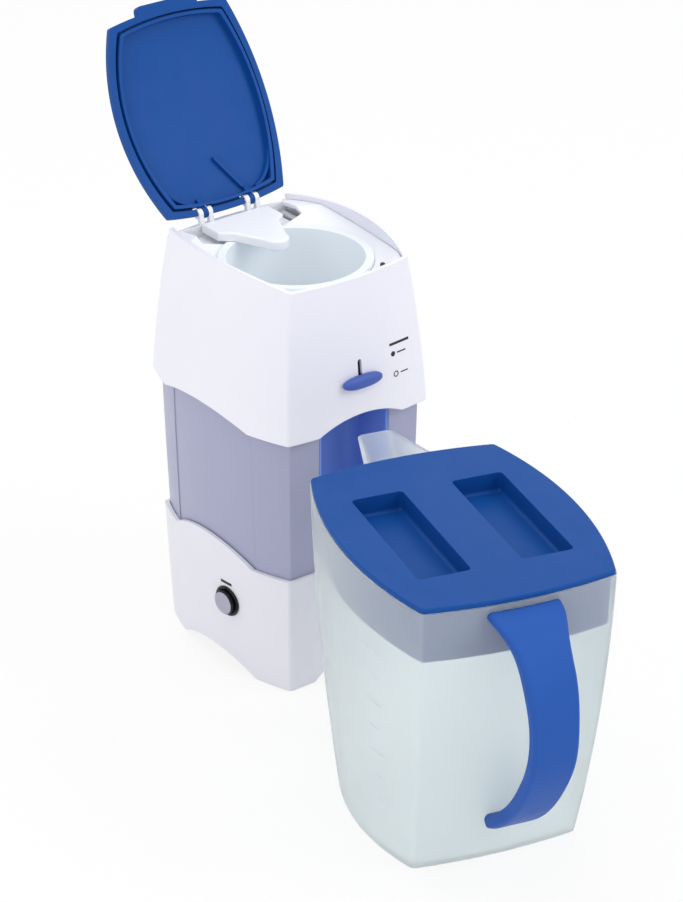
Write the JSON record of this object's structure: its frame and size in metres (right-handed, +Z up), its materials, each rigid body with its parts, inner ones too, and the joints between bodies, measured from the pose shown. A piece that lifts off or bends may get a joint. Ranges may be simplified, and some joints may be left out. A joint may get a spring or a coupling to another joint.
{
  "type": "iced tea maker",
  "caption": "Iced tea brewer: square-shouldered tower with a hinged lid, lift-out basket and tinted water tank, and a lidded pitcher with a strap handle that docks to it.",
  "frame": {"origin": "on the tabletop, under the middle of the tower", "axes": "+Z up; -Y points out of the tower's front, where the pitcher docks; the start button is on its -X side"},
  "size_m": [0.1908, 0.4843, 0.3978],
  "materials": {
    "housing_white": "satin moulded",
    "base_white": "satin moulded",
    "deck_white": "satin moulded",
    "tank_tinted": "translucent tinted",
    "basket_clear": "translucent frosted",
    "blue_gloss": "gloss moulded",
    "blue_grip": "satin moulded",
    "pitcher_clear": "translucent frosted",
    "black_plastic": "gloss moulded",
    "grey_rubber": "matt",
    "hose_silicone": "translucent silicone",
    "tube_plastic": "natural moulded",
    "cast_aluminium": "as cast",
    "steel": "zinc plated",
    "control_parts": "moulded"
  },
  "bodies": {
    "tower": {"upper_housing": "housing_white", "brew_deck": "deck_white", "brew_well": "deck_white", "riser_block": "deck_white", "riser_tube": "tube_plastic", "riser_grommet": "grey_rubber", "drip_outlet": "deck_white", "hinge_pins": "steel", "lid_bumper": "grey_rubber", "reservoir_tank": "tank_tinted", "dock_panel": "blue_gloss", "base_shell": "base_white", "tank_shelf": "base_white", "bottom_plate": "base_white", "rubber_feet": "grey_rubber", "plate_screws": "steel", "button_bezel": "black_plastic", "start_switch": "black_plastic", "cord_gland": "black_plastic", "heater_block": "cast_aluminium", "heater_bend": "cast_aluminium", "heater_element": "steel", "heater_bracket": "steel", "thermostat": "control_parts", "thermal_fuses": "control_parts", "inlet_hose": "hose_silicone", "riser_hose": "hose_silicone", "check_valve": "tube_plastic", "hose_clamps": "steel"},
    "lid": {"lid": "blue_gloss"},
    "basket": {"brew_basket": "basket_clear", "basket_drain": "basket_clear", "water_arm": "deck_white"},
    "strength_selector": {"strength_knob": "blue_grip", "selector_slider": "black_plastic", "flow_gate": "black_plastic"},
    "start_button": {"start_button": "black_plastic"},
    "pitcher": {"pitcher_body": "pitcher_clear", "pitcher_handle": "blue_grip"},
    "pitcher_lid": {"pitcher_lid": "blue_gloss"}
  },
  "joints": [
    {"name": "lid_hinge", "type": "hinge", "parent": "tower", "child": "lid", "pos_m": [0, 0.0635, 0.279], "axis": [-1, 0, 0], "range_deg": [-119, 0]},
    {"name": "strength_slide", "type": "slide", "parent": "tower", "child": "strength_selector", "axis": [0, 0.0886, 0.9961], "range_m": [0, 0.009]},
    {"name": "start_press", "type": "slide", "parent": "tower", "child": "start_button", "axis": [0.9932, 0.1119, 0.0319], "range_m": [0, 0.002], "stiffness_N_per_m": 400},
    {"name": "basket_lift", "type": "slide", "parent": "tower", "child": "basket", "axis": [0, 0, 1], "range_m": [0, 0.09]},
    {"name": "pitcher_lift", "type": "slide", "parent": "tower", "child": "pitcher", "axis": [0, 0, 1], "range_m": [0, 0.3]},
    {"name": "pitcher_lid_lift", "type": "slide", "parent": "pitcher", "child": "pitcher_lid", "axis": [0, 0, 1], "range_m": [0, 0.06]}
  ]
}
